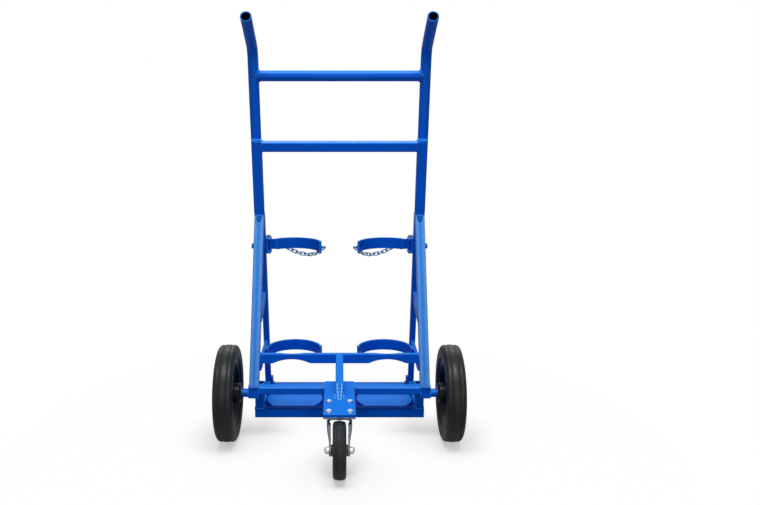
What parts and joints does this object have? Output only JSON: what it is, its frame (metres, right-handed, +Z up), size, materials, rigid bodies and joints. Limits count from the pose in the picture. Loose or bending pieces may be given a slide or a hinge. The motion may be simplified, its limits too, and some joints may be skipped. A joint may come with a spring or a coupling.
{
  "type": "gas cylinder trolley",
  "caption": "Blue welded-tube gas cylinder trolley with bent handles, hinged retaining hoops with chains, rubber-tyred wheels and a swivel support castor.",
  "frame": {"origin": "on the floor, in the middle of the trolley's length and width", "axes": "+X to the operator's right, +Y away from the operator towards the loading side, +Z up"},
  "size_m": [0.628, 0.535, 1.0725],
  "materials": {
    "blue_powder_coat": "glossy powder coat",
    "zinc_plated_steel": "bright zinc plating",
    "bush_steel": "turned",
    "black_tyre_rubber": "moulded rubber",
    "black_rim": "satin black paint",
    "castor_rubber": "moulded rubber",
    "castor_core": "moulded"
  },
  "bodies": {
    "frame": {"handle_tube_left": "blue_powder_coat", "handle_tube_right": "blue_powder_coat", "top_crossbar": "blue_powder_coat", "mid_crossbar": "blue_powder_coat", "upright_left": "blue_powder_coat", "upright_right": "blue_powder_coat", "upright_caps": "blue_powder_coat", "strut_left": "blue_powder_coat", "strut_right": "blue_powder_coat", "rear_leg_left": "blue_powder_coat", "rear_leg_right": "blue_powder_coat", "upper_tie_left": "blue_powder_coat", "upper_tie_right": "blue_powder_coat", "side_brace_left": "blue_powder_coat", "side_brace_right": "blue_powder_coat", "lower_tie_left": "blue_powder_coat", "lower_tie_right": "blue_powder_coat", "lower_cross_plate": "blue_powder_coat", "centre_strut": "blue_powder_coat", "castor_mount_plate": "blue_powder_coat", "axle_beam": "blue_powder_coat", "axle_block_left": "blue_powder_coat", "axle_block_right": "blue_powder_coat", "axle_stub_left": "blue_powder_coat", "axle_stub_right": "blue_powder_coat", "drop_posts": "blue_powder_coat", "tray_near_bar": "blue_powder_coat", "tray_far_bar": "blue_powder_coat", "tray_side_bars": "blue_powder_coat", "base_disc_left": "blue_powder_coat", "base_disc_right": "blue_powder_coat", "foot_lugs": "blue_powder_coat", "lower_hoop_left": "blue_powder_coat", "lower_hoop_right": "blue_powder_coat", "hinge_bracket_left": "blue_powder_coat", "hinge_bracket_right": "blue_powder_coat", "hinge_pins": "zinc_plated_steel", "axle_washers": "zinc_plated_steel", "axle_end_caps": "zinc_plated_steel", "castor_top_plate": "zinc_plated_steel", "castor_kingpin": "zinc_plated_steel", "castor_bolts": "zinc_plated_steel", "castor_nuts": "zinc_plated_steel"},
    "left_wheel": {"tyre_left": "black_tyre_rubber", "rim_left": "black_rim", "hub_bush_left": "bush_steel", "rim_bolts_left": "zinc_plated_steel"},
    "right_wheel": {"tyre_right": "black_tyre_rubber", "rim_right": "black_rim", "hub_bush_right": "bush_steel", "rim_bolts_right": "zinc_plated_steel"},
    "castor_fork_body": {"swivel_race": "zinc_plated_steel", "castor_fork": "zinc_plated_steel", "castor_axle_bolt": "zinc_plated_steel"},
    "castor_wheel": {"castor_rim": "castor_core", "castor_tyre": "castor_rubber"},
    "left_hoop": {"upper_hoop_left": "blue_powder_coat", "chain_left": "zinc_plated_steel"},
    "right_hoop": {"upper_hoop_right": "blue_powder_coat", "chain_right": "zinc_plated_steel"}
  },
  "joints": [
    {"name": "left_wheel_spin", "type": "hinge", "parent": "frame", "child": "left_wheel", "pos_m": [-0.289, 0.0175, 0.125], "axis": [1, 0, 0], "continuous": true},
    {"name": "right_wheel_spin", "type": "hinge", "parent": "frame", "child": "right_wheel", "pos_m": [0.289, 0.0175, 0.125], "axis": [1, 0, 0], "continuous": true},
    {"name": "castor_swivel", "type": "hinge", "parent": "frame", "child": "castor_fork_body", "pos_m": [0, -0.1475, 0.135], "axis": [0, 0, 1], "continuous": true},
    {"name": "castor_wheel_spin", "type": "hinge", "parent": "castor_fork_body", "child": "castor_wheel", "pos_m": [0, -0.1995, 0.068], "axis": [1, 0, 0], "continuous": true},
    {"name": "left_hoop_hinge", "type": "hinge", "parent": "frame", "child": "left_hoop", "pos_m": [-0.195, 0.19916, 0.487], "axis": [0, 0, 1], "range_deg": [0, 110]},
    {"name": "right_hoop_hinge", "type": "hinge", "parent": "frame", "child": "right_hoop", "pos_m": [0.195, 0.19916, 0.487], "axis": [0, 0, -1], "range_deg": [0, 110]}
  ]
}
